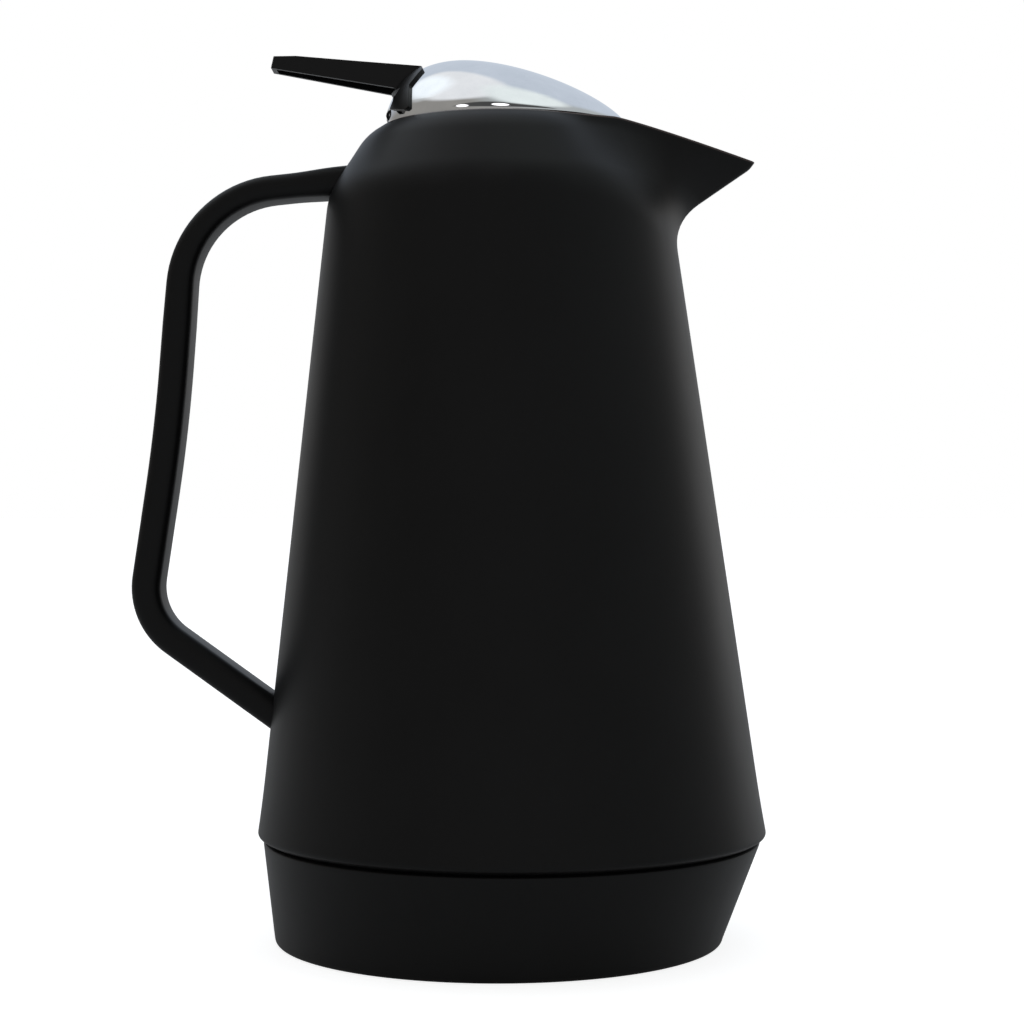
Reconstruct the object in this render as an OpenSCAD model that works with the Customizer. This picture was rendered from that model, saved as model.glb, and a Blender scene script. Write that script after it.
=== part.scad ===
// Thermal carafe with a flip lid.
// A tall leaning cone of black plastic holds a double-walled glass flask.
// A chromed dome with a thumb lever hinges up at the back of the rim, and
// the stopper under it uncovers the throat so that the jug pours over its beak.
// Millimetres. Z is up, the origin is the middle of the foot on the table,
// the spout points to +X and the handle to -X.

/* [Jug body] */
// Height of the soft crease between the tall cone and the shoulder
crease_z = 222; // [219:1:224]
// Radius of the body at that crease
crease_r = 51; // [50:0.1:51.5]
// Height of the widest ring, just above the seam
lip_z = 32; // [31.5:0.1:33]
// Radius of that ring
lip_r = 75.8; // [75:0.1:76.5]
// How far the widest ring is moved towards the spout, which makes the cone lean
lip_x = 3.9; // [2:0.1:4]
// Height of the seam between the body and the base cup
seam_z = 30.4; // [30:0.1:30.8]
// Thickness of the body's wall
wall = 2.5; // [2.2:0.1:2.8]

/* [Rim and spout] */
// Outer radius of the rim
rim_r = 34.8; // [34.6:0.1:35.2]
// Height of the rim
rim_z = 242.3; // [242:0.1:242.4]
// Thickness of the rim's edge
edge = 1.6; // [1.4:0.1:1.8]
// How far the tip of the beak reaches in front of the axis
tip_x = 76.8; // [70:0.2:80]
// Height of that tip
tip_z = 232.4; // [230:0.1:234]
// Height at which the keel of the beak leaves the cone
keel_z = 214.3; // [214:0.1:217]

/* [Base] */
// Radius of the base cup where it meets the table
base_r = 66.5; // [65:0.1:67]
// Height of the spigot that joins the base cup to the body
spigot_z = 43; // [40:1:45]

/* [Flask] */
// Outer radius of the glass flask
flask_r = 53; // [51:0.5:53]
// Outer radius of the flask's neck
neck_r = 28; // [27.5:0.1:28]
// Height of the flask's mouth
mouth_z = 208.4; // [208:0.1:208.4]
// Thickness of each of the two glass walls
glass = 1.5; // [1.2:0.1:1.6]
// Radius of the throat that the drink pours through
throat_r = 20.5; // [19.5:0.1:20.5]

/* [Handle] */
// Thickness of the handle bar, seen from the side; its upper arm is thinner
bar_t = 8.7; // [8.6:0.1:10]
// Width of the handle bar, seen from behind
bar_w = 17; // [16:0.5:18]
// Radius of the bar's rounded corners
bar_corner = 3.2; // [2.5:0.1:3.5]

/* [Lid] */
// Half the length of the dome, front to back
dome_r = 36.5; // [36.2:0.1:36.6]
// Half the width of the dome, side to side
dome_half_w = 33.3; // [33:0.1:33.4]
// Height of the dome
dome_h = 19.7; // [19.4:0.1:20.2]
// Thickness of the dome's skin
dome_wall = 1.5; // [1.3:0.1:1.6]
// Distance of the hinge pin behind the axis
hinge_x = 31.4; // [31.3:0.1:31.5]
// Height of the hinge pin
hinge_z = 244.6; // [244.5:0.1:244.7]
// Length of the thumb lever, from the hinge pin to its free end
lever_len = 36.6; // [32:0.1:37]

/* [Hidden] */
black = [0.09, 0.09, 0.1];
dark = [0.16, 0.16, 0.17];
steel = [0.72, 0.73, 0.75];
chrome = [0.82, 0.83, 0.85];
silvered = [0.86, 0.85, 0.8, 0.6];
soft_grey = [0.3, 0.3, 0.32];
gap = 0.05;               // between pieces that are fixed to each other
dome_z = rim_z + 0.4;     // lower edge of the dome
inner_wall = wall + 0.02; // the wall measured level, as the cone slopes
tip_nose = 2;             // radius of the beak's tip, seen from above
screw_z_top = 225.9;      // axis of the upper handle screw
screw_z_low = 70.5;       // axis of the lower handle screw
shank_r = 1.9;            // handle screws
lever_screw_y = 3;        // half the spacing of the lever's screws
coil_r = 1.9;             // lid spring: middle of the wire to the pin's axis
wire_r = 0.3;
turns = 5.5;
coil_pitch = 1.06;
notch_w = 12;             // half width of the hinge notch in the dome
notch_z = 247.3;          // top of that notch
base_z = 0.1;             // underside of the base cup, held off the table by its rubber ring
ear_in = 7.8;             // bracket ears, inner and outer faces
ear_out = 10;
pin_r = 1;
plate_z = dome_z + 0.3;    // underside of the plate that closes the dome
plate_t = 1.35;

// Directions in which the body's rings have their points, closer together
// at the beak than at the back
half = 32;
angles = [for (i = [-half + 1:half]) sign(i) * 180 * pow(abs(i) / half, 1.5)];

function unit(v) = v / norm(v);
function ease(t) = let (c = max(0, min(1, t))) c * c * (3 - 2 * c);
function mix(a, b, t) = a + (b - a) * t;

// Points that round the corner b of the path a, b, c, from r before it to r
// after it
function soft(a, b, c, r, n = 3) =
    let (p = b + r * unit(a - b), q = b + r * unit(c - b))
    [for (i = [0:n]) let (t = i / n) pow(1 - t, 2) * p + 2 * t * (1 - t) * b + t * t * q];

// Points of the arc of radius r that rounds the corner b of the path a, b, c
function bend(a, b, c, r, n) =
    let (u = unit(a - b), v = unit(c - b), h = acos(u * v) / 2,
         mid = b + unit(u + v) * r / sin(h),
         p = b + u * r / tan(h) - mid,
         q = b + v * r / tan(h) - mid,
         whole = 180 - 2 * h)
    [for (i = [0:n]) let (t = i / n) mid + (sin((1 - t) * whole) * p + sin(t * whole) * q) / sin(whole)];

// Solid whose surface runs through a list of rings of points. A looped solid
// joins its last ring to its first; another is closed by two flat ends.
module skin(rings, looped = false) {
    n = len(rings[0]);
    m = len(rings);
    sides = [for (i = [0:m - (looped ? 1 : 2)], j = [0:n - 1])
        let (k = (j + 1) % n, u = (i + 1) % m)
        each [[i * n + j, u * n + k, i * n + k], [i * n + j, u * n + j, u * n + k]]];
    ends = looped ? [] : [[for (j = [0:n - 1]) j], [for (j = [n - 1:-1:0]) (m - 1) * n + j]];
    polyhedron([for (r = rings) each r], concat(sides, ends));
}

// Body of the jug: its cone, its lean and the way that the beak grows out

// Radius of the cone at height z; it flares a little above the seam
flare = 0.35;
flare_z = 50;
function cone_r(z) = mix(lip_r - flare, crease_r, (z - lip_z) / (crease_z - lip_z))
    + flare * pow(max(0, flare_z - z) / (flare_z - lip_z), 2);

// Distance of the body's middle from the axis at height z
seam_x = lip_x * (crease_z - seam_z) / (crease_z - lip_z);
function lean(z) = z > crease_z ? 0
    : z > seam_z ? lip_x * (crease_z - z) / (crease_z - lip_z)
    : seam_x * max(0, z - 1.5) / (seam_z - 1.5);

// Distance from the axis, in direction a, of an edge that is a circle of
// radius r drawn out in a beak to a nose of radius n that has its centre at c
function reach(a, r, n, c) =
    let (t = acos((r - n) / c), b = atan2(n * sin(t), c + n * cos(t)), d = abs(a))
    d >= t ? r : d > b ? r / cos(d - t) : c * cos(d) + sqrt(max(0, n * n - pow(c * sin(d), 2)));

// Height of the pouring edge: level round the rim, then falling to the tip
fall_x = 34; // where it starts to fall
function edge_z(a, r) = let (past = max(0, r * cos(a) - fall_x) / (tip_x - fall_x))
    rim_z - (rim_z - tip_z) * pow(past, 1.15);

// Share of the beak in the shape at direction a
function beak(a) = ease((75 - abs(a)) / 60);

// One profile of the body, as [distance from the middle, height], moved in
// by d from the outer surface; at d = 0 it is the outer surface itself
function crease_point(a, d) =
    let (z = mix(crease_z, keel_z, pow(beak(a), 2)) + d * mix(-0.36, 0.52, beak(a)))
    [cone_r(z) - 1.008 * d, z];
function edge_point(a, d) = let (r = reach(a, rim_r - d, tip_nose - d, tip_x - tip_nose - 0.35 * d))
    [r, edge_z(a, r)];

// Share of the spout's straight flank in the shoulder at direction a; on the
// outside the flank runs up to the thin lip of the pouring edge
function flank(a) = ease((72 - abs(a)) / 30);
lip_t = 1.1;
function shoulder_point(a, d) =
    let (e = edge_point(a, d > 0 ? edge : 0),
         k = crease_point(a, d),
         s = d > 0 ? mix(k, e, 0.8) - [0, 0.3 * d] : mix(k, e - [0, lip_t], 0.93))
    mix([40.1 - 0.76 * d, 238.9 - 0.72 * d], s, flank(a));

// The outer and inner outlines above the height of join_z
join_z = 200;
function outside(a) =
    let (k = crease_point(a, 0), s = shoulder_point(a, 0), e = edge_point(a, 0),
         b = [cone_r(join_z), join_z])
    concat([b],
        soft(b, k, s, mix(5, 9.5, beak(a)), 5),
        soft(k, s, e, mix(3.4, 1, flank(a)), 3),
        soft(s, e, e - [edge, 0], 0.7, 2));
function inside(a) =
    let (k = crease_point(a, wall), s = shoulder_point(a, wall), e = edge_point(a, edge),
         b = [cone_r(join_z) - inner_wall, join_z])
    concat(soft(e + [edge, 0], e, e - [0, 2], 0.6, 2),
        [e - [0, 2.2]],
        soft(e, s, k, 2, 2),
        soft(s, k, b, 4, 2),
        [b]);

spigot_r = 70.9; // bore of the body where the base cup's spigot goes in
function lower_outside() = concat([[spigot_r + 2, seam_z], [spigot_r + 2.9, seam_z + 0.5]],
    soft([spigot_r + 2.9, seam_z + 0.5], [lip_r, lip_z], [cone_r(42), 42], 1, 2),
    [[cone_r(42), 42], [cone_r(flare_z), flare_z]]);
function lower_inside() = [[spigot_r, spigot_z + 2], [spigot_r, seam_z]];

function place(p, a) = [lean(p[1]) + p[0] * cos(a), p[0] * sin(a), p[1]];
// Rings through the profiles, one profile for each direction
function rings(profiles) = [for (k = [0:len(profiles[0]) - 1])
    [for (i = [0:len(angles) - 1]) place(profiles[i][k], angles[i])]];

module body_shell() color(black) difference() {
    skin(rings([for (a = angles) concat(lower_outside(), outside(a), inside(a), lower_inside())]),
        looped = true);
    handle_screw_holes();
}

// The body as a full shape, grown by g, for cutting what stands against it
module envelope(g) {
    skin(rings([for (a = angles) [for (p = concat([[cone_r(45), 45]], outside(a))) p + [g, 0]]]));
}

// The space inside the body's neck, shrunk by g and carried on above the rim
module cavity(g) {
    skin(rings([for (a = angles) let (p = inside(a), n = len(p))
        concat([for (i = [n - 1:-1:2]) p[i] - [g, 0]], [[p[2][0] - g, rim_z + 9]])]));
}

// Base cup with its spigot, the floor and the collar of the support plug
cup_top = [74, 29.8];
module base_cup() color(black) difference() {
    union() {
        skin(rings([for (a = angles) concat(
            [[22, base_z]], soft([22, base_z], [base_r, base_z], cup_top, 1.1, 3),
            [cup_top, [cup_top[0] - 1, seam_z - gap], [spigot_r - 0.15, seam_z - gap],
             [spigot_r - 0.15, spigot_z - 1], [spigot_r - 1, spigot_z], [68.3, spigot_z], [68.3, 29],
             [64.2, 4], [22, 4]])]), looped = true);
        translate([0, 0, 3.5]) cylinder(r = 29.5, h = 12.5, $fn = 96);
        for (a = [0:30:330]) rotate(a) base_rib();
    }
    translate([0, 0, -1]) cylinder(r = 26.05, h = 30, $fn = 96);
    foot_groove();
}

// Rib between the collar and the wall of the base cup
module base_rib() {
    translate([29, 0.9, 3.5]) rotate([90, 0, 0])
        linear_extrude(1.8) polygon([[0, 0], [0, 9], [35.8, 3.5], [35.8, 0]]);
}

module foot_groove() {
    rotate_extrude($fn = 96) translate([53.6, -1]) square([4.8, 3.4]);
}

module foot_ring() color(soft_grey) rotate_extrude($fn = 96)
    polygon(concat([[53.65, 2.35]], soft([53.65, 2.35], [53.65, 0], [58.35, 0], 0.8, 3),
        soft([53.65, 0], [58.35, 0], [58.35, 2.35], 0.8, 3), [[58.35, 2.35]]));

// Plug that screws into the base and presses the flask up; its slot takes a coin
module support_plug() color(dark) difference() {
    union() {
        translate([0, 0, 0.9]) cylinder(r = 26, h = 3.1, $fn = 96);
        translate([0, 0, 3.9]) difference() {
            cylinder(r = 26, h = 13, $fn = 96);
            cylinder(r = 22.6, h = 14, $fn = 96);
        }
    }
    translate([-13, -1.6, 0]) cube([26, 3.2, 2.6]);
}

module flask_cushion() color(soft_grey) difference() {
    union() {
        translate([0, 0, 4.05]) cylinder(r = 22.5, h = 13.9, $fn = 96);
        translate([0, 0, 17.5]) cylinder(r = 20, h = 10.4, $fn = 96);
    }
    translate([0, 0, 9]) cylinder(r = 8, h = 30, $fn = 64);
}

// Glass flask: two walls, joined at the mouth, with a closed space between
flask_floor = 28;
vacuum = 2.5;
function flask_side(d) = let (r = flask_r - d, n = neck_r - d, f = flask_floor + d)
    concat([[0, f]], soft([0, f], [r, f], [r, 100], 30, 7), soft([r, 100], [r, 176], [n, 184], 18, 5),
        soft([r, 176], [n, 186], [n, mouth_z], 8, 4));
function reversed(l) = [for (i = [len(l) - 1:-1:0]) l[i]];

module glass_flask() color(silvered) {
    outer = flask_side(0);
    lining = flask_side(glass);
    jacket = flask_side(glass + vacuum);
    inner = flask_side(2 * glass + vacuum);
    turn = (2 * glass + vacuum) / 2;
    mouth = [for (a = [0:30:180]) [neck_r - turn + turn * cos(a), mouth_z - turn + turn * sin(a)]];
    pinch = [for (a = [180:-45:0])
        [neck_r - turn + vacuum / 2 * cos(a), mouth_z - turn + vacuum / 2 * sin(a)]];
    rotate_extrude($fn = 96)
        polygon(concat(outer, mouth, reversed(inner), jacket, pinch, reversed(lining)));
    translate([0, 0, flask_floor - 7]) difference() {
        cylinder(r1 = 2.4, r2 = 4, h = 7.4, $fn = 32);
        translate([0, 0, 1.5]) cylinder(r1 = 1.2, r2 = 2.6, h = 5, $fn = 32);
    }
}

// Three pads that keep the two glass walls apart
module flask_spacers() color(soft_grey) for (a = [30, 150, 270]) rotate(a)
    translate([flask_r - glass - vacuum + gap, 0, 84]) rotate([0, 90, 0])
        cylinder(r = 3, h = vacuum - 0.2, $fn = 32);

module neck_gasket() color(soft_grey) translate([0, 0, mouth_z + gap]) difference() {
    cylinder(r = neck_r, h = 2.5, $fn = 96);
    translate([0, 0, -1]) cylinder(r = neck_r - 5, h = 5, $fn = 96);
}

// Floor of the pouring basin with the throat and the seat of the stopper
collar_z = 211;
collar_r = 48.5;
seal_z = collar_z + 0.9; // middle of the ring in the collar's edge
module pour_collar() color(dark) rotate_extrude($fn = 128) difference() {
    union() {
        translate([throat_r, collar_z]) square([collar_r - throat_r, 1.6]);
        translate([throat_r, 199]) square([2, 13]);
        translate([throat_r + 2, collar_z]) square([4.4, 2]);
        translate([collar_r - 4.5, 209.4]) square([4.5, 5]);
    }
    translate([46.65, seal_z - 1.25]) square([5, 2.5]);
}

module collar_seal() color(soft_grey) rotate_extrude($fn = 128)
    translate([47.9, seal_z]) circle(r = 1.2, $fn = 24);

// Handle: a flat bar with rounded corners that follows four bends
corners = [[-38, 227.1], [-92.9, 221.2], [-98.1, 152.6], [-106.5, 96.1], [-59.6, 62.3]];
handle_line = concat([corners[0], mix(corners[0], corners[1], 0.25), mix(corners[0], corners[1], 0.4)],
    bend(corners[0], corners[1], corners[2], 30.8, 7),
    bend(corners[1], corners[2], corners[3], 530, 5),
    bend(corners[2], corners[3], corners[4], 19.7, 6),
    [corners[4]]);

// The bar grows thinner up its bend, and thick again where it meets the shoulder
function bar_thick(p) = bar_t - 1.2 * ease((p[1] - 178) / 45) * (1 - 0.9 * ease((p[0] + 62) / 14));

function bar_section(w, t, r) = [
    for (q = [[1, 1, 0], [-1, 1, 90], [-1, -1, 180], [1, -1, 270]], s = [0:30:90])
    [q[0] * (w / 2 - r) + r * cos(q[2] + s), q[1] * (t / 2 - r) + r * sin(q[2] + s)]];

function along(line, i) = unit(line[min(i + 1, len(line) - 1)] - line[max(i - 1, 0)]);

module handle() color(black) difference() {
    skin([for (i = [0:len(handle_line) - 1])
        let (p = handle_line[i], d = along(handle_line, i))
        [for (s = bar_section(bar_w, bar_thick(p), bar_corner))
            [p[0] + s[1] * d[1], s[0], p[1] - s[1] * d[0]]]]);
    envelope(gap);
    handle_screw_holes();
}

// Screws that hold the handle from inside the body, and the holes for them
top_head_x = -39.5;
low_head_x = -64.1;
module handle_screw_holes() {
    translate([-61, 0, screw_z_top]) rotate([0, 90, 0]) cylinder(r = shank_r + gap, h = 30, $fn = 32);
    translate([-77, 0, screw_z_low]) rotate([0, 90, 0]) cylinder(r = shank_r + gap, h = 20, $fn = 32);
}

module pan_screw(r, len, head_r, head_h, slot) {
    difference() {
        union() {
            cylinder(r = r, h = len, $fn = 32);
            translate([0, 0, len]) cylinder(r1 = head_r, r2 = 0.8 * head_r, h = head_h, $fn = 48);
        }
        for (a = [0, 90]) rotate(a)
            translate([-0.6 * head_r, -slot / 2, len + 0.4 * head_h]) cube([1.2 * head_r, slot, head_h]);
    }
}

module handle_screws() color(steel) {
    translate([-60, 0, screw_z_top]) rotate([0, 90, 0]) pan_screw(shank_r, 60 + top_head_x, 3.5, 2.2, 0.9);
    translate([-76, 0, screw_z_low]) rotate([0, 90, 0]) pan_screw(shank_r, 76 + low_head_x, 3.5, 2.2, 0.9);
}

// Hinge bracket: a block that fits the inside of the neck, with two ears
// that carry the pin just above the rim
knuckle_r = 1.9;
slot_z = 241.6; // floor of the slot between the ears
spring_leg = [-hinge_x + 3.2, -turns * coil_pitch / 2];
module at_pin() {
    translate([-hinge_x, 0, hinge_z]) rotate([90, 0, 0]) children();
}
module hinge_bracket() color(dark) difference() {
    union() {
        intersection() {
            translate([0, ear_out, 0]) rotate([90, 0, 0]) linear_extrude(2 * ear_out)
                polygon([[-52, 218.5], [top_head_x - gap, 218.5], [top_head_x - gap, 229.5],
                    [-33, 233.5], [-27.4, 237], [-27.4, 241.4],
                    [knuckle_r - hinge_x, 242.4], [knuckle_r - hinge_x, hinge_z],
                    [-knuckle_r - hinge_x, hinge_z], [-52, 246]]);
            cavity(0.15);
        }
        at_pin() cylinder(r = knuckle_r, h = 2 * ear_out, center = true, $fn = 36);
    }
    translate([-60, -ear_in, slot_z]) cube([40, 2 * ear_in, 20]);
    at_pin() cylinder(r = pin_r, h = 40, center = true, $fn = 48);
    translate([spring_leg[0], spring_leg[1], slot_z - 3.4]) cylinder(r = 0.6, h = 6, $fn = 24);
    translate([-60, 0, screw_z_top]) rotate([0, 90, 0]) cylinder(r = shank_r + gap, h = 30, $fn = 32);
}

module hinge_pin() color(steel) at_pin()
    cylinder(r = pin_r, h = 2 * ear_out + 0.4, center = true, $fn = 48);

// Lid spring: one wire, wound round the pin, with a leg down in the bracket
// and a leg forward that presses on the lid's plate
spring_steps = 8 * turns;
spring_line = concat(
    [[spring_leg[0], spring_leg[1], slot_z - 2.9], [spring_leg[0], spring_leg[1], slot_z + 0.3],
     [spring_leg[0] - 0.8, spring_leg[1], slot_z + 0.9]],
    [for (i = [0:spring_steps]) let (a = 270 - 45 * i)
        [-hinge_x + coil_r * cos(a), (i / 8 - turns / 2) * coil_pitch, hinge_z + coil_r * sin(a)]],
    [[-hinge_x + 2.4, turns * coil_pitch / 2, hinge_z + coil_r - 0.1],
     [-hinge_x + 11, turns * coil_pitch / 2, plate_z + plate_t + 0.35]]);
module lid_spring() color(steel) {
    skin([for (i = [0:len(spring_line) - 1])
        let (d = unit(spring_line[min(i + 1, len(spring_line) - 1)] - spring_line[max(i - 1, 0)]),
             u = unit(cross(d, [0, 1, 0])), v = cross(d, u))
        [for (a = [0:60:300]) spring_line[i] + wire_r * (cos(a) * u + sin(a) * v)]]);
}
least_gap = min([for (i = [0:len(spring_line) - 1], j = [i + 5:1:len(spring_line) - 1])
    norm(spring_line[i] - spring_line[j])]) - 2 * wire_r;
echo(least_gap_between_turns = least_gap);

// Dome of the lid: its middle moves back as it rises, so its front is long
// and low and its back is steep
dome_fore = 2.05; // middle of its lower edge
dome_back = 12.9; // how far the middle moves back up to the top
function dome_ring(t, g) =
    let (u = pow(t, 1.39),
         r = (dome_r + g) * pow(1 - u, 0.526),
         w = (dome_half_w + g) / (dome_r + g),
         z = dome_z + (dome_h + g) * t)
    [for (a = [0:360 / 44:359]) [dome_fore - dome_back * u + r * cos(a), w * r * sin(a), z]];
dome_steps = [0, 0.1, 0.22, 0.34, 0.46, 0.58, 0.69, 0.79, 0.87, 0.93, 0.97, 0.99, 0.998];

// The dome as a full shape, grown by g
module dome_solid(g) {
    skin([for (t = dome_steps) dome_ring(t, g)]);
}

module lid_dome() color(chrome) difference() {
    skin(concat([for (t = reversed(dome_steps)) dome_ring(t, -dome_wall)],
        [for (t = dome_steps) dome_ring(t, 0)]));
    translate([-45, -notch_w, dome_z - 2]) cube([18, 2 * notch_w, notch_z - dome_z + 2]);
    lever_screw_holes();
}

// Plate that closes the dome from below and carries the knuckles; its outline
// is that of the dome's inside at the height of its upper face
plate_share = (plate_z + plate_t - dome_z) / (dome_h - dome_wall);
module lid_liner() color(dark) difference() {
    union() {
        difference() {
            translate([0, 0, plate_z]) linear_extrude(plate_t)
                polygon([for (p = dome_ring(plate_share, -dome_wall - 0.15)) [p[0], p[1]]]);
            translate([-50, -notch_w, plate_z - 1]) cube([50 - hinge_x + 2.8, 2 * notch_w, 9]);
        }
        for (s = [-1, 1]) translate([-hinge_x, s * 6 + 1.5, hinge_z]) rotate([90, 0, 0]) {
            cylinder(r = knuckle_r, h = 3, $fn = 48);
            translate([0, plate_z - hinge_z, 0]) cube([6, plate_t, 3]);
        }
        translate([0, 0, plate_z - 3.1]) cylinder(r = 4.2, h = 3.2, $fn = 48);
        translate([0, 0, plate_z]) cylinder(r = 4.2, h = 3.5, $fn = 48);
        for (a = [45:90:315]) rotate(a) translate([4, -0.75, plate_z]) cube([22, 1.5, 3]);
    }
    at_pin() cylinder(r = pin_r + 0.05, h = 40, center = true, $fn = 48);
    translate([0, 0, plate_z - 4]) cylinder(r = 1.55, h = 6, $fn = 32);
}

// Thumb lever: a channel, open below, that widens into a saddle with two ears
root_z = 252.4;
root_x = -31.2; // where the lever's underside meets the dome
free_x = -hinge_x - lever_len;
hollow_x = root_x - 1;
ear_z = 246.3; // lower ends of the two ears
module lever_plan(d) {
    end_w = 4.2 - d;
    root_w = 7 - d;
    polygon(concat(
        soft([free_x + d, 0], [free_x + d, end_w], [root_x, root_w], 2.2, 4),
        [[root_x, root_w], [root_x + 10, root_w + 0.4], [root_x + 10, -root_w - 0.4], [root_x, -root_w]],
        soft([root_x, -root_w], [free_x + d, -end_w], [free_x + d, 0], 2.2, 4)));
}
module lever_side(d) {
    polygon([[free_x + d, 259.6 - 2 * d], [free_x + 0.8 + d, 263.4 - d], [-60.5, 263.4 - d],
        [-36, 261 - d], [-23.2, 259.9 - d], [-22.2, 258.1 - d], [-26, 252.6],
        [-26, ear_z], [root_x, ear_z], [root_x, 253.4 - 2 * d]]);
}
module lever_bar(d) {
    intersection() {
        translate([0, 0, 240]) linear_extrude(30) lever_plan(d);
        translate([0, 20, 0]) rotate([90, 0, 0]) linear_extrude(40) lever_side(d);
    }
}
module thumb_lever() color(black) difference() {
    union() {
        difference() {
            lever_bar(0);
            intersection() {
                lever_bar(1.4);
                translate([hollow_x - 100, -20, 200]) cube([100, 40, 100]);
            }
        }
        intersection() {
            dome_solid(0.9);
            translate([0, 20, 0]) rotate([90, 0, 0]) linear_extrude(40)
                polygon([[-40, ear_z], [-26.2, ear_z], [-25.5, ear_z + 0.7], [-25.5, 252.6],
                    [-22.2, 258.1], [-23.2, 266], [-40, 266]]);
        }
    }
    dome_solid(gap);
    translate([-45, -notch_w, 240]) cube([30, 2 * notch_w, root_z - 240]);
    lever_screw_holes();
}

// The two lever screws go out through the dome, square to its wall
module at_lever_screws() {
    for (s = [-1, 1]) translate([-26.75, s * lever_screw_y, 254.55]) rotate([0, -43, 0]) children();
}
module lever_screw_holes() {
    at_lever_screws() translate([0, 0, -1]) cylinder(r = 1.15, h = 7.4, $fn = 24);
}
module lever_screws() color(steel) at_lever_screws()
    rotate([180, 0, 0]) translate([0, 0, -6.2]) pan_screw(1.1, 6.2, 1.9, 1.3, 0.6);

// Stopper: a hollow stem with a flange, and the seal that covers the throat
seat_z = collar_z + 2;
module stopper() color(dark) rotate_extrude($fn = 96) difference() {
    union() {
        translate([0, seat_z]) square([21, 1.5]);
        translate([0, seat_z]) square([18.5, 5]);
        translate([0, seat_z + 3.1]) square([24, 1.9]);
        translate([0, seat_z]) square([16, plate_z - 0.05 - seat_z]);
    }
    translate([4, seat_z + 3.5]) square([10.2, 60]);
    translate([-1, plate_z - 3.2]) square([15.2, 10]);
    translate([-1, seat_z - 1]) square([2.55, 60]);
    translate([-1, seat_z - 1]) square([4.55, 3.4]);
}

module stopper_foam() color([0.85, 0.82, 0.7]) translate([0, 0, seat_z + 3.6]) difference() {
    cylinder(r = 14.1, h = 22, $fn = 64);
    translate([0, 0, -1]) cylinder(r = 4.1, h = 30, $fn = 48);
}

module stopper_seal() color(soft_grey) translate([0, 0, seat_z]) rotate_extrude($fn = 96)
    polygon([[18.6, 1.55], [24, 1.55], [24.2, 0.3], [25.2, 0.3], [25.6, 1.55], [26.5, 2.2],
        [26.5, 3.05], [18.6, 3.05]]);

module plug_screw() color(steel) translate([0, 0, plate_z + 1.9]) rotate([180, 0, 0])
    pan_screw(1.5, plate_z + 1.9 - seat_z - 2.35, 3.4, 2.2, 0.9);

body_shell();
base_cup();
foot_ring();
support_plug();
flask_cushion();
glass_flask();
flask_spacers();
neck_gasket();
pour_collar();
collar_seal();
handle();
handle_screws();
hinge_bracket();
hinge_pin();
lid_spring();
lid_dome();
lid_liner();
thumb_lever();
lever_screws();
stopper();
stopper_foam();
stopper_seal();
plug_screw();
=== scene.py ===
"""Thermal carafe with a flip lid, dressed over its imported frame.

Shapes are drawn in millimetres in the frame's own directions, +X to the
spout and -Y to the camera, and made metres as each piece is finished.
"""

import math

import bmesh
import bpy
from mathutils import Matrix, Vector
from mathutils.bvhtree import BVHTree


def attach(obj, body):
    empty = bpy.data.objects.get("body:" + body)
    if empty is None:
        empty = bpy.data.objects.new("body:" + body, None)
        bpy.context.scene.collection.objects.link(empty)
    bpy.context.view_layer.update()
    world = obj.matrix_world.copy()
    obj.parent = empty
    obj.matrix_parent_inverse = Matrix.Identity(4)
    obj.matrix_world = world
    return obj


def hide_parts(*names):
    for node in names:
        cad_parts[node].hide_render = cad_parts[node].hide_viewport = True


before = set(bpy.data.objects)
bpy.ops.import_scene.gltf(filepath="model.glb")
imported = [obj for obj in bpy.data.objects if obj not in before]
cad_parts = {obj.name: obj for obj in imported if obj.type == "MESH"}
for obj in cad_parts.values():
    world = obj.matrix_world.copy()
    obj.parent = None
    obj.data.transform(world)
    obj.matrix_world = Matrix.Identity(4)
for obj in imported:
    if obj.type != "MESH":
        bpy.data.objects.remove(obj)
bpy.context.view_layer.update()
MM = 0.001

# Camera: level with the middle of the jug and square to its side, about
# two thirds of a metre away, as the ellipses of the seam and the base show.
eye = Vector((3.9, -656.0, 127.5)) * MM
camera = bpy.data.objects.new("camera", bpy.data.cameras.new("camera"))
camera.data.sensor_width = 36.0
camera.data.lens = 76.85
camera.location = eye
camera.rotation_euler = (math.radians(90), 0, 0)
bpy.context.scene.collection.objects.link(camera)
bpy.context.scene.camera = camera


# Body: one moulding of fine-grained black plastic. A leaning cone carries a
# soft crease, a shoulder and a thin rim, and the front of the rim is drawn
# out into a beak. The base cup closes it from below.
class Value:
    """A shader output on which arithmetic adds Math nodes."""

    def __init__(self, finish, socket):
        self.finish, self.socket = finish, socket

    def math(self, operation, *terms):
        return self.finish.node(
            "ShaderNodeMath", {"operation": operation}, dict(enumerate(terms))
        )

    def __add__(self, other):
        return self.math("ADD", self, other)

    def __mul__(self, other):
        return self.math("MULTIPLY", self, other)

    def __sub__(self, other):
        return self.math("SUBTRACT", self, other)

    def __rsub__(self, other):
        return self.math("SUBTRACT", other, self)

    __radd__, __rmul__ = __add__, __mul__


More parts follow.
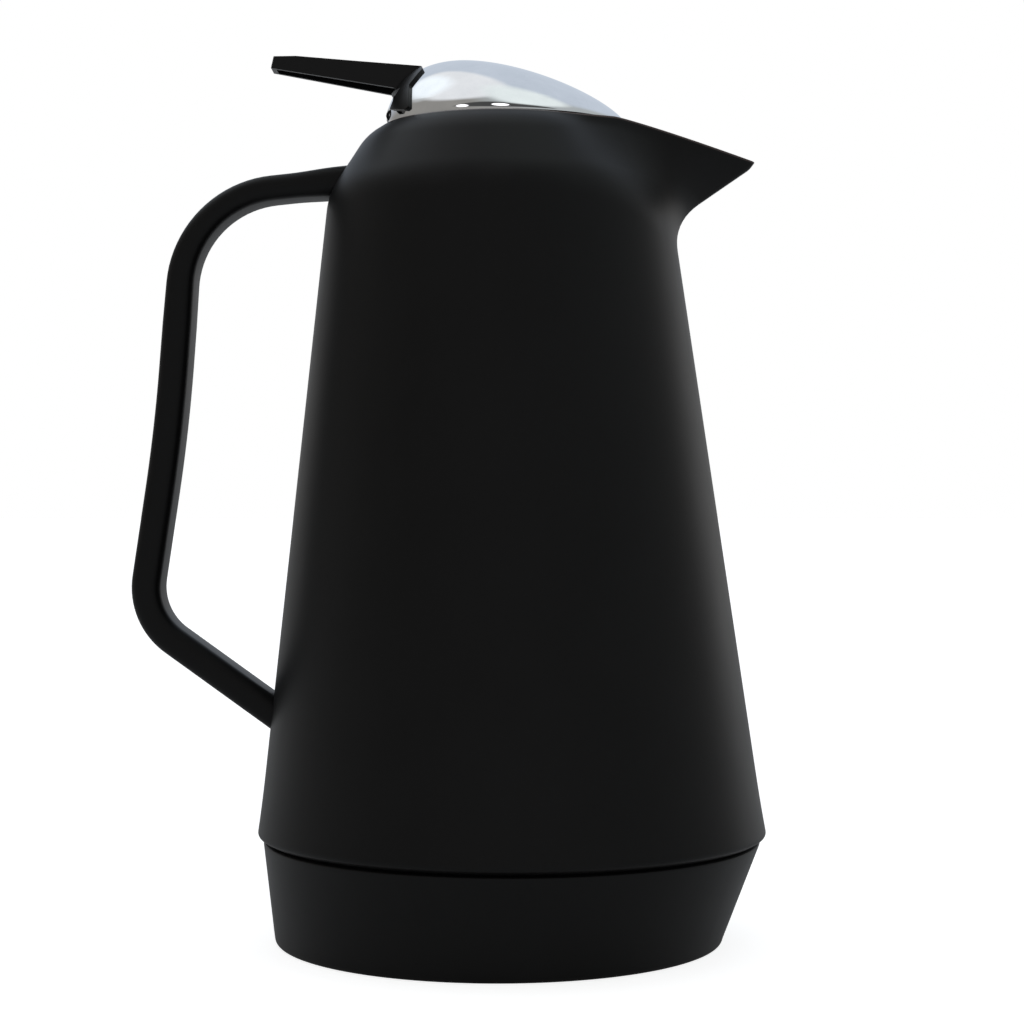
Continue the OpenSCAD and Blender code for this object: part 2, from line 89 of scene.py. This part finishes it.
class Finish:
    """A material or world whose nodes all come from node()."""

    def __init__(self, owner):
        owner.use_nodes = True
        self.owner, self.tree = owner, owner.node_tree
        self.tree.nodes.clear()

    def node(self, kind, settings=None, sockets=None, out=0):
        """Adds a node: its settings, then the values or links of its sockets."""
        node = self.tree.nodes.new(kind)
        for name, value in (settings or {}).items():
            if name == "stops":
                while len(node.color_ramp.elements) < len(value):
                    node.color_ramp.elements.new(0.5)
                for element, (place, colour) in zip(node.color_ramp.elements, value):
                    element.position, element.color = place, (*colour, 1)
            else:
                setattr(node, name, value)
        for name, value in (sockets or {}).items():
            socket = node.inputs[name]
            if isinstance(value, Value):
                self.tree.links.new(value.socket, socket)
            elif socket.type == "RGBA":
                socket.default_value = (*value, 1)
            else:
                socket.default_value = value
        return Value(self, node.outputs[out]) if node.outputs else None

    def noise(self, size_mm, detail=2.0, rough=0.5, stretch=(1, 1, 1)):
        """Noise with features of size_mm on the object's own coordinates."""
        place = self.node("ShaderNodeTexCoord", out="Object")
        scale = tuple(share / (size_mm * MM) for share in stretch)
        grown = self.node("ShaderNodeMapping", {}, {"Vector": place, "Scale": scale})
        sockets = {"Vector": grown, "Scale": 1.0, "Detail": detail, "Roughness": rough}
        return self.node("ShaderNodeTexNoise", {}, sockets)

    def ramp(self, value, *stops):
        """Colours between stops of (value, colour)."""
        return self.node("ShaderNodeValToRGB", {"stops": stops}, {"Fac": value})

    def mixed(self, share, under, over):
        """The colour under, or over where share is 1."""
        sockets = {0: share, 6: under, 7: over}
        return self.node("ShaderNodeMix", {"data_type": "RGBA"}, sockets, out=2)

    def bump(self, strength, depth_mm, height):
        sockets = {"Strength": strength, "Distance": depth_mm * MM, "Height": height}
        return self.node("ShaderNodeBump", {}, sockets)

    def surface(self, **sockets):
        """Ends the material with a Principled shader."""
        named = {name.replace("_", " "): value for name, value in sockets.items()}
        self.end(self.node("ShaderNodeBsdfPrincipled", {}, named))
        return self.owner

    def end(self, shader):
        kind = "World" if isinstance(self.owner, bpy.types.World) else "Material"
        self.node("ShaderNodeOutput" + kind, {}, {"Surface": shader})


def finish_of(name):
    return Finish(bpy.data.materials.new(name))


def grey(level):
    """A very slightly blue grey."""
    return (level, level, level * 1.03)


def grained_plastic(name, level, roughness, grain_mm, depth_mm, sheen=0.22):
    """Plastic from a spark-eroded mould: a fine pebble grain, with faint clouds
    and handling marks in its gloss. An edge attribute marks a painted
    highlight: a paler warm colour where light catches the rounded edge, and a
    smoother gloss there."""
    finish = finish_of(name)
    cloud = finish.noise(34, 3, 0.55)
    flow = finish.noise(9, 4, 0.6, (1, 1, 0.35))
    pebble = finish.noise(grain_mm, 2, 0.55)
    speck = finish.noise(grain_mm * 2.7, 1, 0.5)
    colour = finish.ramp(
        cloud * 0.6 + flow * 0.25 + speck * 0.15,
        (0.35, grey(level * 0.86)),
        (0.65, grey(level * 1.16)),
    )
    # the edge attribute marks a painted highlight: a paler warm colour, and a smoother gloss
    highlight_share = finish.node("ShaderNodeAttribute", {"attribute_name": "burnish"}, out="Fac")
    return finish.surface(
        Base_Color=finish.mixed(highlight_share, colour, (0.11, 0.085, 0.08)),
        Roughness=roughness - 0.06 + 0.08 * cloud + 0.05 * flow - 0.1 * highlight_share,
        Normal=finish.bump(0.55, depth_mm, pebble * 0.75 + speck * 0.25),
        IOR=1.46,
        Specular_IOR_Level=sheen,
    )


def point(x, y):
    return Vector((x, y))


def mix(a, b, t):
    return a + (b - a) * t


def ease(t):
    """0 below 0, 1 above 1, smooth between."""
    t = max(0.0, min(1.0, t))
    return t * t * (3 - 2 * t)


def soft(a, b, c, radius, steps=6):
    """Points that round the corner b of the path a, b, c."""
    p, q = b + radius * (a - b).normalized(), b + radius * (c - b).normalized()
    return [
        (1 - t) ** 2 * p + 2 * t * (1 - t) * b + t * t * q
        for t in (i / steps for i in range(steps + 1))
    ]


def straight(a, b, margin=1.2):
    """Points inside the straight from a to b, close to its ends, so that the
    shading stays flat between them."""
    along = (b - a).normalized() * min(margin, (b - a).length / 4)
    return [a + along, mix(a, b, 0.5), b - along]


def path(*runs):
    """Joins runs of points, with a straight between each run and the next."""
    points = list(runs[0])
    for run in runs[1:]:
        points += straight(points[-1], run[0]) + run
    return points


def spun(profile, steps, closed=False):
    """A mesh spun once round Z from points (radius, height); the layer 'row'
    keeps each vertex's number along the profile."""
    mesh = bmesh.new()
    row = mesh.verts.layers.int.new("row")
    verts = []
    for number, (radius, height) in enumerate(profile):
        vert = mesh.verts.new((radius, 0, height))
        vert[row] = number
        verts.append(vert)
    pairs = list(zip(verts, verts[1:])) + ([(verts[-1], verts[0])] if closed else [])
    edges = [mesh.edges.new(pair) for pair in pairs]
    bmesh.ops.spin(
        mesh,
        geom=verts + edges,
        cent=(0, 0, 0),
        axis=(0, 0, 1),
        angle=math.tau,
        steps=steps,
        use_merge=True,
    )
    bmesh.ops.remove_doubles(mesh, verts=mesh.verts[:], dist=1e-4)
    bmesh.ops.recalc_face_normals(mesh, faces=mesh.faces[:])
    return mesh


def piece(name, mesh, material, body, replaced=(), sharp=32, modifiers=()):
    """Makes an object of a mesh drawn in millimetres and hands it to the frame."""
    bmesh.ops.scale(mesh, vec=(MM, MM, MM), verts=mesh.verts[:])
    data = bpy.data.meshes.new(name)
    mesh.to_mesh(data)
    mesh.free()
    data.shade_smooth()
    data.set_sharp_from_angle(angle=math.radians(sharp))
    data.materials.append(material)
    made = bpy.data.objects.new(name, data)
    bpy.context.scene.collection.objects.link(made)
    for kind, settings in modifiers:
        modifier = made.modifiers.new(kind.title(), kind)
        for key, value in settings.items():
            setattr(modifier, key, value)
    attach(made, body)
    if replaced:
        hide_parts(*replaced)


seam_z, spigot_r, spigot_z = 30.4, 70.9, 43.0
lip_z, lip_r, lip_x = 32.0, 75.8, 3.9  # lowest and widest ring of the cone
flare, flare_z = 0.35, 50.0
flank_z = 150.0  # a station half way up the cone
crease_z, crease_r = 222.0, 51.0
shoulder_z, shoulder_r = 238.9, 40.1
rim_z, rim_r = 242.3, 34.8
fall_x = 34.0  # where the pouring edge starts to fall
tip_x, tip_z, tip_nose, tip_t = 76.8, 232.4, 2.0, 1.1
keel_z = 214.3
wall, rim_edge, rim_round, rim_round_in = 2.5, 1.6, 0.45, 0.6
foot_z = 1.5  # below this the base stands straight on the axis
seam_x = lip_x * (crease_z - seam_z) / (crease_z - lip_z)


def cone_r(z):
    """Radius of the cone at height z; it flares a little above the seam."""
    straight_r = mix(lip_r - flare, crease_r, (z - lip_z) / (crease_z - lip_z))
    return straight_r + flare * (max(0.0, flare_z - z) / (flare_z - lip_z)) ** 2


def lean(z):
    """How far the body's middle is from the axis at height z."""
    if z > crease_z:
        return 0.0
    if z > seam_z:
        return lip_x * (crease_z - z) / (crease_z - lip_z)
    return seam_x * max(0.0, z - foot_z) / (seam_z - foot_z)


def reach(a, r, nose, centre):
    """Distance from the axis, in direction a, of a rim of radius r that is
    drawn out to a beak of nose radius nose round the point centre."""
    touch = math.acos((r - nose) / centre)
    corner = math.atan2(nose * math.sin(touch), centre + nose * math.cos(touch))
    if a >= touch:
        return r
    if a > corner:
        return r / math.cos(a - touch)
    return centre * math.cos(a) + math.sqrt(max(0.0, nose**2 - (centre * math.sin(a)) ** 2))


def beak(a):
    """Share of the beak in the outline at direction a: 1 in front, 0 behind."""
    return ease((75 - math.degrees(a)) / 60)


def edge_height(a, r):
    """Height of the pouring edge: level round the rim, falling to the tip."""
    past = max(0.0, r * math.cos(a) - fall_x) / (tip_x - fall_x)
    return rim_z - (rim_z - tip_z) * past**1.15


def crease_point(a, depth):
    """Crease between cone and shoulder, or its inside at a depth in the wall;
    under the beak it sinks and becomes the keel."""
    z = mix(crease_z, keel_z, beak(a) ** 2) + depth * mix(-0.36, 0.52, beak(a))
    return point(cone_r(z) - 1.008 * depth, z)


def edge_point(a, depth):
    """Outer corner of the rim, or a point at a depth behind it."""
    r = reach(a, rim_r - depth, tip_nose - depth, tip_x - tip_nose - 0.35 * depth)
    return point(r, edge_height(a, r))


def flank_share(a):
    """Share of the spout's straight flank in the shoulder at direction a."""
    return ease((72 - math.degrees(a)) / 30)


def shoulder_point(a, depth):
    """Corner between shoulder and rim. On the beak it moves down the straight
    line from the pouring edge to the keel, so that the flank is flat."""
    edge, crease = edge_point(a, rim_edge if depth else 0), crease_point(a, depth)
    if depth:
        on_flank = mix(crease, edge, 0.8) - point(0, 0.3 * depth)
    else:
        on_flank = mix(crease, edge - point(0, tip_t), 0.93)
    on_shoulder = point(shoulder_r - 0.76 * depth, shoulder_z - 0.72 * depth)
    return mix(on_shoulder, on_flank, flank_share(a))


def shell_profile(a):
    """The body's whole wall in direction a, from the seam up the outside,
    over the rim and down the inside."""
    seam_in, foot = point(spigot_r + 2, seam_z), point(spigot_r + 2.9, seam_z + 0.5)
    lip = point(lip_r, lip_z)
    flared = [point(cone_r(z), z) for z in (36, 40, 45, flare_z)]
    flank, flank_in = point(cone_r(flank_z), flank_z), point(cone_r(flank_z) - wall - 0.02, flank_z)
    crease, crease_in = crease_point(a, 0), crease_point(a, wall)
    shoulder, shoulder_in = shoulder_point(a, 0), shoulder_point(a, wall)
    edge, edge_in = edge_point(a, 0), edge_point(a, rim_edge)
    crease_round, shoulder_round = mix(5, 9.5, beak(a)), mix(3.4, 1.0, flank_share(a))
    return path(
        [seam_in, foot],
        soft(foot, lip, flared[1], 1.0, 5),
        flared,
        [flank] + straight(flank, crease, 12)[2:],
        soft(flank, crease, shoulder, crease_round, 10),
        soft(crease, shoulder, edge, shoulder_round, 8),
        soft(shoulder, edge, edge - point(rim_edge, 0), rim_round, 4),
        soft(edge_in + point(rim_edge, 0), edge_in, edge_in - point(0, 2), rim_round_in, 4),
        [edge_in - point(0, 2.2)],
        soft(edge_in, shoulder_in, crease_in, 2, 6),
        soft(shoulder_in, crease_in, flank_in, 4, 8),
        [flank_in, point(spigot_r, spigot_z + 2), point(spigot_r, seam_z)],
    )


body_black = grained_plastic("body_black", 0.0056, 0.42, 0.42, 0.030)
around = 288
shell = spun(shell_profile(math.pi), around, closed=True)
row = shell.verts.layers.int["row"]
# the rim's outer corner gets a painted highlight, a paler line where light catches the rounded edge
burnish = shell.verts.layers.float.new("burnish")
rim_highlight_reach = 0.6  # how far round the rim's corner the painted highlight reaches
profiles = {}
for vert in shell.verts:
    turn = math.atan2(vert.co.y, vert.co.x)
    # the columns crowd towards the beak, where the shape is finest
    a = math.pi * (abs(turn) / math.pi) ** 1.5
    key = round(a, 5)
    if key not in profiles:
        profiles[key] = shell_profile(a)
    r, z = profiles[key][vert[row]]
    vert[burnish] = float((point(r, z) - edge_point(a, 0)).length < rim_highlight_reach)
    vert.co = (lean(z) + r * math.cos(a), math.copysign(r * math.sin(a), turn), z)
bmesh.ops.recalc_face_normals(shell, faces=shell.faces[:])
shell_shape = BVHTree.FromBMesh(shell)
piece("jug_body", shell, body_black, "jug", ["body_shell"], sharp=30)

# Base cup: the same plastic, pressed into the body with its spigot. It
# narrows to the table, with a groove below for the rubber ring and a round
# opening for the plug that holds the flask.
base_z, floor_z, plug_r = 0.1, 4.0, 22.0
groove_in, groove_out, groove_z = 53.5, 58.5, 2.4
cup_foot, cup_top, cup_lip_r = point(66.5, base_z), point(74.0, 29.8), 72.9
slip_r, press_z, inside_r = spigot_r - 0.15, seam_z - 0.05, 68.3
cup = spun(
    path(
        [point(plug_r, base_z)],
        [point(groove_in, base_z), point(groove_in, groove_z)]
        + [point(groove_out, groove_z), point(groove_out, base_z)],
        soft(point(groove_out, base_z), cup_foot, cup_top, 1.1, 8),
        soft(cup_foot, cup_top, point(cup_lip_r, seam_z), 0.4, 3),
        [point(cup_lip_r, press_z), point(slip_r, press_z), point(slip_r, spigot_z - 1)],
        [point(spigot_r - 1, spigot_z), point(inside_r, spigot_z), point(inside_r, 29)]
        + [point(64.2, floor_z), point(plug_r, floor_z)],
    ),
    around,
    closed=True,
)
for vert in cup.verts:
    in_groove = vert.co.z < 3 and vert.co.xy.length < groove_out + 0.5
    if not in_groove:
        vert.co.x += lean(vert.co.z)
piece("base", cup, body_black, "jug", ["base_cup"], sharp=30)

# Handle: a solid bar with rounded corners, moulded in the same black and
# screwed on from inside. It leaves the shoulder level, drops almost straight
# and turns back in below the middle of the cone.
bar_wide, bar_t, bar_corner = 17.0, 8.7, 3.2
thinner = 1.2  # how much the bar loses up its bend
handle_black = grained_plastic("handle_black", 0.0050, 0.42, 0.42, 0.025)


def bend(a, b, c, radius, steps):
    """Points of the arc that rounds the corner b of the path a, b, c."""
    u, v = (a - b).normalized(), (c - b).normalized()
    half = math.acos(u.dot(v)) / 2
    middle = b + (u + v).normalized() * radius / math.sin(half)
    p, q = b + u * radius / math.tan(half) - middle, b + v * radius / math.tan(half) - middle
    whole = math.pi - 2 * half
    return [
        middle + (math.sin((1 - t) * whole) * p + math.sin(t * whole) * q) / math.sin(whole)
        for t in (i / steps for i in range(steps + 1))
    ]


root, bend_top, bow = point(-38, 227.1), point(-92.9, 221.2), point(-98.1, 152.6)
bend_low, tail = point(-106.5, 96.1), point(-59.6, 62.3)
bar_line = path(
    [mix(root, bend_top, t) for t in (0, 0.15, 0.2, 0.25, 0.3, 0.35, 0.4, 0.45)],
    bend(root, bend_top, bow, 30.8, 20),
    bend(bend_top, bow, bend_low, 530, 10),
    bend(bow, bend_low, tail, 19.7, 16),
    [tail],
)


def bar_section(place, steps=6):
    """Outline of the bar's section at a place on its line: (across, through)
    points. The bar grows thinner up its bend, and thick again where it meets
    the shoulder."""
    up_the_bend, at_the_shoulder = ease((place.y - 178) / 45), ease((place.x + 62) / 14)
    thick = bar_t - thinner * up_the_bend * (1 - 0.9 * at_the_shoulder)
    outline = []
    for quarter, (sx, sy) in enumerate(((1, 1), (-1, 1), (-1, -1), (1, -1))):
        middle = point(sx * (bar_wide / 2 - bar_corner), sy * (thick / 2 - bar_corner))
        for step in range(steps + 1):
            turn = math.radians(90 * (quarter + step / steps))
            outline.append(middle + bar_corner * point(math.cos(turn), math.sin(turn)))
    return outline


def bar_ring(number):
    """Places of the section's points at one station of the bar's line."""
    place, last = bar_line[number], len(bar_line) - 1
    ahead = (bar_line[min(number + 1, last)] - bar_line[max(number - 1, 0)]).normalized()
    return [
        Vector((place.x - s.y * ahead.y, s.x, place.y + s.y * ahead.x)) for s in bar_section(place)
    ]


def drawn(rings):
    """A closed mesh extruded from ring to ring, and the vertices of each."""
    mesh = bmesh.new()
    drawn_rings = [[mesh.verts.new(spot) for spot in rings[0]]]
    verts = drawn_rings[0]
    edges = [mesh.edges.new(pair) for pair in zip(verts, verts[1:] + verts[:1])]
    mesh.faces.new(verts)
    for ring in rings[1:]:
        made = bmesh.ops.extrude_edge_only(mesh, edges=edges)["geom"]
        edges = [e for e in made if isinstance(e, bmesh.types.BMEdge) and e.is_boundary]
        verts = [v for v in made if isinstance(v, bmesh.types.BMVert)]
        for vert, spot in zip(verts, ring):
            vert.co = spot
        drawn_rings.append(verts)
    bmesh.ops.contextual_create(mesh, geom=edges)
    bmesh.ops.recalc_face_normals(mesh, faces=mesh.faces[:])
    return mesh, drawn_rings


bar, bar_rings = drawn([bar_ring(number) for number in range(len(bar_line))])
sunk = 0.8  # how far the bar's ends reach into the body
for end, before in ((bar_rings[0], bar_rings[1]), (bar_rings[-1], bar_rings[-2])):
    inward = (end[0].co - before[0].co).normalized()
    for vert in end:
        hit = shell_shape.ray_cast(vert.co - 40 * inward, inward)[0]
        vert.co = hit + sunk * inward
piece("grip", bar, handle_black, "jug", ["handle"])

# Lid dome: pressed steel, chromed and polished. Its front is long and low,
# its back steep, and a notch at the back clears the hinge.
dome_r, dome_half_w, dome_h, dome_z, dome_wall = 36.5, 33.3, 19.9, 242.5, 1.5
notch_w, notch_top = 10.5, 247.3
dome_mid_x, dome_lag = 2.05, 12.9  # middle of the foot, and how far the top lies behind it
dome_lift, dome_round = 1.39, 0.526
chrome = finish_of("polished_chrome")
haze = chrome.noise(6, 4, 0.6)
smear = chrome.noise(14, 3, 0.5, (1, 0.4, 1))
ripple = chrome.noise(11, 1, 0.4)
chrome_mat = chrome.surface(
    Base_Color=chrome.ramp(haze, (0.3, (0.80, 0.81, 0.82)), (0.7, (0.88, 0.885, 0.89))),
    Metallic=1.0,
    Roughness=0.02 + 0.05 * haze * smear,
    Normal=chrome.bump(0.12, 0.05, ripple),
)


def on_dome(t, turn, grown=0.0):
    """Point of the dome, or of a skin grown on it, at the share t of its
    height and in direction turn."""
    rise = t**dome_lift
    r = (dome_r + grown) * max(0.0, 1 - rise) ** dome_round
    flatness = (dome_half_w + grown) / (dome_r + grown)
    x = dome_mid_x - dome_lag * rise + r * math.cos(turn)
    return Vector((x, flatness * r * math.sin(turn), dome_z + (dome_h + grown) * t))


rows = 44
heights = [1 - (1 - i / rows) ** 1.9 for i in range(rows)]  # closer towards the top
dome = spun([point(1.0, t) for t in heights] + [point(0.0, 1.0)], 160)
for vert in dome.verts:
    vert.co = on_dome(vert.co.z, math.atan2(vert.co.y, vert.co.x))


def cut(mesh, where, across):
    everything = mesh.verts[:] + mesh.edges[:] + mesh.faces[:]
    bmesh.ops.bisect_plane(mesh, geom=everything, plane_co=where, plane_no=across)


def cut_notch(mesh, half, top):
    """Cuts the hinge notch out of the back of the dome or the saddle."""
    for side in (1, -1):
        cut(mesh, (0, side * half, 0), (0, 1, 0))
    cut(mesh, (0, 0, top), (0, 0, 1))
    middles = [(face, face.calc_center_median()) for face in mesh.faces]
    out = [face for face, m in middles if abs(m.y) < half and m.x < -20 and m.z < top]
    bmesh.ops.delete(mesh, geom=out, context="FACES")


def wall_of(thickness):
    """Gives a skin its wall, inwards from the surface that was drawn."""
    return ("SOLIDIFY", {"thickness": thickness * MM, "offset": -1.0, "use_even_offset": True})


def rounded(width, segments, from_degrees):
    limit = {"limit_method": "ANGLE", "angle_limit": math.radians(from_degrees)}
    return ("BEVEL", {"width": width * MM, "segments": segments, **limit})


cut_notch(dome, notch_w, notch_top)
dome_finish = [wall_of(dome_wall), rounded(0.3, 3, 50)]
piece("chrome_dome", dome, chrome_mat, "lid", ["lid_dome"], 60, dome_finish)

# Thumb lever: black plastic with a finer, glossier skin. A channel, open
# below, runs back over the handle and ends on a saddle with two ears that
# hug the dome on both sides of the hinge, held by screws from inside.
lever_black = grained_plastic("lever_black", 0.0050, 0.34, 0.30, 0.012, sheen=0.3)
free_x, root_x, nose_x = -68.0, -31.2, -22.3
hollow_x, channel_wall = root_x + 0.6, 1.3


def along_points(x, *points):
    """Height at x of the broken line through points."""
    for (x0, z0), (x1, z1) in zip(points, points[1:]):
        if x <= x1:
            break
    return mix(z0, z1, (x - x0) / (x1 - x0))


def lever_ring(x, hollow):
    """Section of the lever at x: a channel open below, or a solid bar."""
    if x < root_x:
        half = mix(4.2, 7.0, (x - free_x) / (root_x - free_x))
    else:
        half = mix(7.0, 7.4, (x - root_x) / 9)
    top = along_points(
        x, (free_x, 263.4), (-60.5, 263.4), (-36, 261), (nose_x - 0.9, 259.9), (nose_x, 258.4)
    )
    low = along_points(
        x, (free_x, 259.9), (root_x, 253.5), (-28.5, 252.6), (-26, 252.8), (nose_x, 258.0)
    )
    inner, ceiling = half - channel_wall, (top - channel_wall if hollow else low + 0.02)
    outline = [(half, low), (half, top), (-half, top), (-half, low)]
    outline += [(-inner, low), (-inner, ceiling), (inner, ceiling), (inner, low)]
    slant = 0.8 if x == free_x else 0  # the free end leans forward to its top
    return [Vector((x + (slant if z > 261 else 0), y, z)) for y, z in outline]


end_block = (free_x, free_x + 1.6)
channel = (free_x + 1.7, -60.5, -54, -48, -42, root_x, hollow_x)
nose = (hollow_x + 0.1, -28.5, -26, -24.2, nose_x - 0.9, nose_x)
lever, _ = drawn([lever_ring(x, hollow=x in channel) for x in end_block + channel + nose])
edges_rounded = [rounded(0.4, 4, 40)]
piece("lever", lever, lever_black, "lid", ["thumb_lever"], modifiers=edges_rounded)

# The saddle is drawn as a skin grown on the dome, from the foot of the ears
# to the lever's top.
ear_foot, ear_tip, saddle_top = 246.5, 244.5, 260.2
ear_x, ear_round = -26.3, 0.9
saddle_skin, saddle_wall = 0.9, 0.85
bridge_half, bridge_z = 12.0, 252.4  # the bridge over the hinge
saddle = bmesh.new()
bmesh.ops.create_grid(saddle, x_segments=48, y_segments=60, size=1.0)
for vert in saddle.verts:
    across, up = vert.co.x, (vert.co.y + 1) / 2
    foot = mix(ear_foot, ear_tip, max(0.0, abs(across) - 0.5) * 2)
    z = mix(foot, saddle_top, up**1.3)
    front = along_points(z, (ear_tip, ear_x), (252.6, ear_x), (258.1, -22.4), (saddle_top, -23.0))
    front -= ear_round * max(0.0, 1 - (z - foot) / ear_round) ** 2
    t = (z - dome_z) / (dome_h + saddle_skin)
    middle, back = on_dome(t, math.pi / 2, saddle_skin).x, on_dome(t, math.pi, saddle_skin).x
    reach_back = min(1.0, (middle - front) / (middle - back))
    vert.co = on_dome(t, math.pi - across * math.acos(reach_back), saddle_skin)
bmesh.ops.recalc_face_normals(saddle, faces=saddle.faces[:])
if sum(face.normal.y * face.calc_center_median().y for face in saddle.faces) < 0:
    bmesh.ops.reverse_faces(saddle, faces=saddle.faces[:])
cut_notch(saddle, bridge_half, bridge_z)
saddle_finish = [wall_of(saddle_wall), rounded(0.25, 3, 50)]
piece("lever_saddle", saddle, lever_black, "lid", modifiers=saddle_finish)

# Inner works: the frame's own solids have the true shape of the screws, pin
# and spring, the moulded parts inside the neck and lid, the seals, the glass
# flask with its silvered walls, and the stopper's foam. They get a finish.
steel = finish_of("bright_steel")
brush = steel.noise(0.6, 3, 0.6, (1, 6, 1))
steel_mat = steel.surface(
    Base_Color=steel.ramp(brush, (0.3, (0.50, 0.51, 0.52)), (0.7, (0.62, 0.63, 0.64))),
    Metallic=1.0,
    Roughness=0.22 + 0.16 * brush,
)
inner_black = grained_plastic("inner_black", 0.010, 0.42, 0.5, 0.02)
rubber = grained_plastic("seal_rubber_grey", 0.03, 0.7, 0.6, 0.03, sheen=0.25)
glass = finish_of("silvered_glass")
veil = glass.noise(20, 3, 0.5)
glass_mat = glass.surface(
    Base_Color=glass.ramp(veil, (0.3, (0.82, 0.81, 0.78)), (0.7, (0.9, 0.9, 0.88))),
    Metallic=0.9,
    Roughness=0.05 + 0.1 * veil,
)
foam = finish_of("pale_foam")
cells = foam.noise(0.9, 2, 0.6)
foam_mat = foam.surface(
    Base_Color=foam.ramp(cells, (0.3, (0.6, 0.56, 0.44)), (0.7, (0.74, 0.7, 0.58))),
    Roughness=0.9,
    Normal=foam.bump(0.6, 0.2, cells),
)
for finish, nodes in (
    (steel_mat, "handle_screws hinge_pin lid_spring lever_screws plug_screw"),
    (inner_black, "support_plug pour_collar hinge_bracket lid_liner stopper"),
    (rubber, "foot_ring flask_cushion flask_spacers neck_gasket collar_seal stopper_seal"),
    (glass_mat, "glass_flask"),
    (foam_mat, "stopper_foam"),
):
    for name in nodes.split():
        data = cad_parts[name].data
        data.materials.clear()
        data.materials.append(finish)

# Studio: a pale floor and a white backdrop. What the jug itself sees is a dim
# warm room with two small windows on the camera's side, a paler wall behind,
# a white ceiling panel to each side, and a strip light on the spout's side.
world = bpy.data.worlds.new("studio")
bpy.context.scene.world = world
room = Finish(world)
toward = room.node("ShaderNodeTexCoord", out="Generated")
white = (1.0, 1.0, 1.0)


def step(value, low, high):
    """0 below low, 1 above high, smooth between."""
    sockets = {"Value": value, "From Min": low, "From Max": high}
    return room.node("ShaderNodeMapRange", {"interpolation_type": "SMOOTHSTEP"}, sockets)


def facing(azimuth, elevation):
    """Cosine of the angle between the ray and a direction, whose azimuth is
    counted from the camera towards the spout's side."""
    az, el = math.radians(azimuth), math.radians(elevation)
    aim = (math.sin(az) * math.cos(el), -math.cos(az) * math.cos(el), math.sin(el))
    settings, sockets = {"operation": "DOT_PRODUCT"}, {0: toward, 1: aim}
    return room.node("ShaderNodeVectorMath", settings, sockets, out="Value")


def glow(tint, strength):
    return room.node("ShaderNodeBackground", {}, {"Color": tint, "Strength": strength})


def blend(share, under, over):
    return room.node("ShaderNodeMixShader", {}, {0: share, 1: under, 2: over})


def lit(under, azimuth, elevation, start, full, tint, strength):
    """Adds a round patch of light; start and full are the cosines at its
    outer edge and where it has its whole strength."""
    return blend(step(facing(azimuth, elevation), start, full), under, glow(tint, strength))


def background_rays(finish, mirrored):
    """1 for the rays that show the background: the camera's, those through
    glass, and the share mirrored of those off a shiny surface."""
    camera_ray, glossy_ray, through_ray = (
        finish.node("ShaderNodeLightPath", out=f"Is {kind} Ray")
        for kind in ("Camera", "Glossy", "Transmission")
    )
    seen = {0: camera_ray + through_ray, 1: glossy_ray * mirrored}
    return finish.node("ShaderNodeMath", {"operation": "MAXIMUM"}, seen)


light = glow((1.0, 0.96, 0.92), 0.24)
# the walls: on the camera's side, the handle's side, the spout's side, behind
light = lit(light, 0, 22, 0.60, 0.95, (1.0, 0.98, 0.97), 0.36)
light = lit(light, -90, 60, 0.35, 0.90, (1.0, 0.97, 0.92), 0.30)
light = lit(light, 80, 60, 0.55, 0.85, (0.92, 0.98, 1.0), 0.50)
light = lit(light, 180, 50, 0.60, 0.85, (0.84, 0.93, 1.06), 0.70)
# the dark ceiling above the camera
overhead_in_front = step(facing(0, 0), 0.43, 0.48) * step(facing(0, 90), 0.60, 0.68)
light = blend(overhead_in_front, light, glow(white, 0.07))
# the two ceiling panels, and a bright spot where the left one is nearest
light = lit(light, -110, 68, 0.88, 0.93, (0.95, 0.97, 1.0), 0.92)
light = lit(light, 60, 75, 0.90, 0.97, (0.93, 1.0, 1.0), 0.95)
light = lit(light, -118, 52, 0.94, 0.99, (0.94, 1.0, 1.05), 1.15)
# the two small windows, which the dome shows just above the rim
light = lit(light, -44, 42, 0.9955, 0.9975, (1.0, 0.97, 1.0), 2.0)
light = lit(light, -5, 52, 0.9935, 0.9955, (1.0, 0.97, 1.0), 2.0)
low_behind = step(facing(180, 0), 0.55, 0.8) * (1 - step(facing(0, 90), 0.16, 0.3))
room.end(blend(background_rays(room, 0.35 * low_behind), light, glow(white, 1.0)))

floor_finish = finish_of("pale_floor")
floor_glow = floor_finish.mixed(background_rays(floor_finish, 0.15), (0, 0, 0), (0.82, 0.82, 0.82))
floor_mat = floor_finish.surface(
    Base_Color=(0.5, 0.5, 0.5), Roughness=0.9, Emission_Color=floor_glow, Emission_Strength=1.0
)
floor = bmesh.new()
bmesh.ops.create_grid(floor, x_segments=1, y_segments=1, size=40)
floor_data = bpy.data.meshes.new("floor")
floor.to_mesh(floor_data)
floor.free()
floor_data.materials.append(floor_mat)
floor_object = bpy.data.objects.new("floor", floor_data)
bpy.context.scene.collection.objects.link(floor_object)

strip = bpy.data.objects.new("strip", bpy.data.lights.new("strip", "AREA"))
strip.data.shape, strip.data.size, strip.data.size_y = "RECTANGLE", 0.5, 0.9
strip.data.energy = 0.7
strip.location = (1.0, 0.9, 0.30)
jug_middle = Vector((0, 0, 0.13))
strip.rotation_euler = (jug_middle - strip.location).to_track_quat("-Z", "Y").to_euler()
bpy.context.scene.collection.objects.link(strip)

bpy.context.scene.view_settings.view_transform = "Standard"
